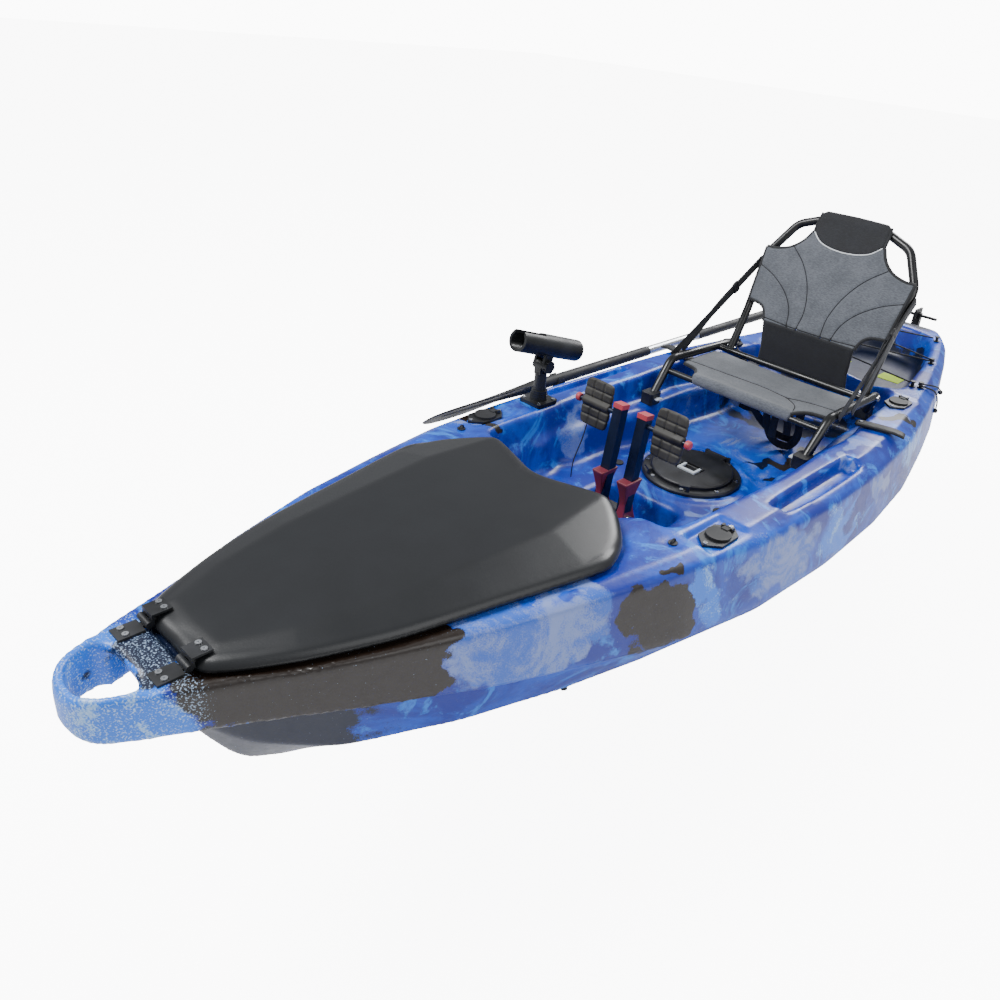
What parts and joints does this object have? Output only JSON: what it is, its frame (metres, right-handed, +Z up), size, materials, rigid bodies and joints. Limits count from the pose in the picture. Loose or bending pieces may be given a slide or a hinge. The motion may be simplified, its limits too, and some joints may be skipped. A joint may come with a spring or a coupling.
{
  "type": "pedal kayak",
  "caption": "Sit-on-top fishing kayak with a fin pedal drive, framed folding seat, front hatch, round hatch, rod holders, paddle and rudder.",
  "frame": {"origin": "on the flat keel at mid length, on the centre plane", "axes": "+Y towards the stern, +X to port, +Z up from the keel"},
  "size_m": [0.9776, 3.129, 1.1376],
  "materials": {
    "hull_plastic": "rotomoulded polyethylene, blue, white and black marbled",
    "lid_plastic": "textured charcoal plastic",
    "black_rubber": "matt black rubber",
    "black_plastic": "black moulded nylon",
    "grey_plastic": "grey moulded plastic",
    "white_plastic": "white moulded plastic",
    "stainless": "stainless steel",
    "maroon_plastic": "maroon moulded clamp",
    "red_plastic": "red plastic cap",
    "navy_alu": "dark navy coated aluminium",
    "pad_rubber": "ribbed dark grey rubber",
    "black_tube": "black powder-coated aluminium tube",
    "grey_mesh": "grey heather padded mesh",
    "black_cloth": "black woven nylon",
    "silver_tube": "satin silver tube",
    "black_cord": "black shock cord",
    "yellow_foam": "yellow-green soft pad"
  },
  "bodies": {
    "hull": {"bungee_posts": "black_plastic", "carry_handles": "black_rubber", "deck_eyes": "black_plastic", "deck_patches": "yellow_foam", "deck_screws": "stainless", "drive_axles": "stainless", "drive_spine": "black_plastic", "hatch_seal": "black_rubber", "hinge_bases": "black_plastic", "hull": "hull_plastic", "paddle_clip": "black_plastic", "rod_holders": "black_plastic", "round_hatch_ring": "black_plastic", "rudder_bracket": "black_plastic", "scupper_plugs": "black_plastic", "seat_base_frame": "black_tube", "seat_feet": "grey_plastic", "seat_pan_fabric": "grey_mesh", "seat_pivot_bolts": "stainless", "seat_straps": "black_cloth", "seat_webbing": "black_cloth", "side_bungee": "black_cord", "swivel_base": "black_plastic", "tank_bungee": "black_cord", "wing_nuts": "white_plastic"},
    "hatch_lid": {"hatch_lid": "lid_plastic", "hatch_lid_trim": "black_rubber", "hinge_leaves": "black_plastic", "hinge_leaf_screws": "stainless"},
    "round_hatch_lid": {"round_hatch_lid": "black_plastic"},
    "round_hatch_handle": {"round_hatch_handle": "grey_plastic"},
    "round_hatch_latch_port": {"round_hatch_latch_port": "black_plastic"},
    "round_hatch_latch_starboard": {"round_hatch_latch_starboard": "black_plastic"},
    "rod_swivel": {"swivel_post": "black_plastic"},
    "rod_cradle": {"rod_cradle": "black_plastic"},
    "tilt_knob": {"tilt_knob": "black_plastic"},
    "crank_port": {"crank_bracket_port": "maroon_plastic", "pedal_arm_port": "navy_alu", "arm_cap_port": "red_plastic"},
    "crank_starboard": {"crank_bracket_starboard": "maroon_plastic", "pedal_arm_starboard": "navy_alu", "arm_cap_starboard": "red_plastic"},
    "pedal_port": {"pedal_pad_port": "pad_rubber"},
    "pedal_starboard": {"pedal_pad_starboard": "pad_rubber", "pedal_cord": "black_cord"},
    "fin_bow": {"fin_bow": "black_plastic"},
    "fin_stern": {"fin_stern": "black_plastic"},
    "seat_back": {"seat_back_frame": "black_tube", "seat_back_fabric": "grey_mesh", "seat_padding": "black_cloth"},
    "paddle": {"paddle_shaft": "silver_tube", "paddle_grips": "black_rubber", "paddle_blades": "black_plastic"},
    "rudder_head": {"rudder_head": "black_plastic"},
    "rudder_blade": {"rudder_blade": "black_plastic"},
    "rod_cap_bow_port": {"rod_cap_bow_port": "black_plastic"},
    "rod_cap_bow_starboard": {"rod_cap_bow_starboard": "black_plastic"},
    "rod_cap_stern_port": {"rod_cap_stern_port": "black_plastic"},
    "rod_cap_stern_starboard": {"rod_cap_stern_starboard": "black_plastic"}
  },
  "joints": [
    {"name": "hatch_lid_hinge", "type": "hinge", "parent": "hull", "child": "hatch_lid", "pos_m": [0, -1.318, 0.31931], "axis": [1, 0, 0], "range_deg": [0, 95]},
    {"name": "round_hatch_hinge", "type": "hinge", "parent": "hull", "child": "round_hatch_lid", "pos_m": [0, 0.232, 0.153], "axis": [-1, 0, 0], "range_deg": [0, 90]},
    {"name": "round_hatch_handle_fold", "type": "hinge", "parent": "round_hatch_lid", "child": "round_hatch_handle", "pos_m": [0, 0.107, 0.1563], "axis": [-1, 0, 0], "range_deg": [0, 90]},
    {"name": "latch_turn_port", "type": "hinge", "parent": "hull", "child": "round_hatch_latch_port", "pos_m": [0.063, -0.00512, 0.1573], "axis": [0, 0, -1], "range_deg": [0, 90]},
    {"name": "latch_turn_starboard", "type": "hinge", "parent": "hull", "child": "round_hatch_latch_starboard", "pos_m": [-0.063, -0.00512, 0.1573], "axis": [0, 0, -1], "range_deg": [0, 90]},
    {"name": "rod_cap_hinge_bow_port", "type": "hinge", "parent": "hull", "child": "rod_cap_bow_port", "pos_m": [0.353, -0.31, 0.30078], "axis": [-1, 0, 0], "range_deg": [0, 110]},
    {"name": "rod_cap_hinge_bow_starboard", "type": "hinge", "parent": "hull", "child": "rod_cap_bow_starboard", "pos_m": [-0.353, -0.31, 0.30078], "axis": [-1, 0, 0], "range_deg": [0, 110]},
    {"name": "rod_cap_hinge_stern_port", "type": "hinge", "parent": "hull", "child": "rod_cap_stern_port", "pos_m": [0.29, 0.728, 0.31222], "axis": [-1, 0, 0], "range_deg": [0, 110]},
    {"name": "rod_cap_hinge_stern_starboard", "type": "hinge", "parent": "hull", "child": "rod_cap_stern_starboard", "pos_m": [-0.29, 0.728, 0.31222], "axis": [-1, 0, 0], "range_deg": [0, 110]},
    {"name": "rod_swivel", "type": "hinge", "parent": "hull", "child": "rod_swivel", "pos_m": [-0.335, -0.17, 0.36261], "axis": [0, 0, 1], "continuous": true},
    {"name": "rod_tilt", "type": "hinge", "parent": "rod_swivel", "child": "rod_cradle", "pos_m": [-0.335, -0.17, 0.40261], "axis": [1, 0, 0], "range_deg": [-30, 50]},
    {"name": "tilt_knob_turn", "type": "hinge", "parent": "rod_cradle", "child": "tilt_knob", "pos_m": [-0.31, -0.17, 0.40261], "axis": [1, 0, 0], "range_deg": [-180, 180]},
    {"name": "crank_port", "type": "hinge", "parent": "hull", "child": "crank_port", "pos_m": [0, -0.24, 0.15], "axis": [1, 0, 0], "range_deg": [-25, 25]},
    {"name": "crank_starboard", "type": "hinge", "parent": "hull", "child": "crank_starboard", "pos_m": [0, -0.24, 0.15], "axis": [1, 0, 0], "range_deg": [-25, 25]},
    {"name": "pedal_tilt_port", "type": "hinge", "parent": "crank_port", "child": "pedal_port", "pos_m": [0.109, -0.2092, 0.38398], "axis": [1, 0, 0], "range_deg": [-35, 35]},
    {"name": "pedal_tilt_starboard", "type": "hinge", "parent": "crank_starboard", "child": "pedal_starboard", "pos_m": [-0.109, -0.2092, 0.38398], "axis": [1, 0, 0], "range_deg": [-35, 35]},
    {"name": "fin_sweep_bow", "type": "hinge", "parent": "hull", "child": "fin_bow", "pos_m": [0, -0.295, -0.015], "axis": [0, 1, 0], "range_deg": [-75, 75]},
    {"name": "fin_sweep_stern", "type": "hinge", "parent": "hull", "child": "fin_stern", "pos_m": [0, -0.185, -0.015], "axis": [0, 1, 0], "range_deg": [-75, 75]},
    {"name": "seat_back_fold", "type": "hinge", "parent": "hull", "child": "seat_back", "pos_m": [0, 0.59, 0.335], "axis": [1, 0, 0], "range_deg": [-15, 80], "deforming": ["seat_straps"]},
    {"name": "paddle_lift_out", "type": "slide", "parent": "hull", "child": "paddle", "axis": [0, 0, 1], "range_m": [0, 0.15]},
    {"name": "rudder_steer", "type": "hinge", "parent": "hull", "child": "rudder_head", "pos_m": [0, 1.496, 0.25], "axis": [0, 0, 1], "range_deg": [-40, 40]},
    {"name": "rudder_blade_lift", "type": "hinge", "parent": "rudder_head", "child": "rudder_blade", "pos_m": [0, 1.54, 0.248], "axis": [1, 0, 0], "range_deg": [0, 100]}
  ],
  "couplings": [
    {"joint": "crank_starboard", "follows": "crank_port", "ratio": -1},
    {"joint": "fin_sweep_bow", "follows": "crank_port", "ratio": 3},
    {"joint": "fin_sweep_stern", "follows": "crank_port", "ratio": -3}
  ]
}
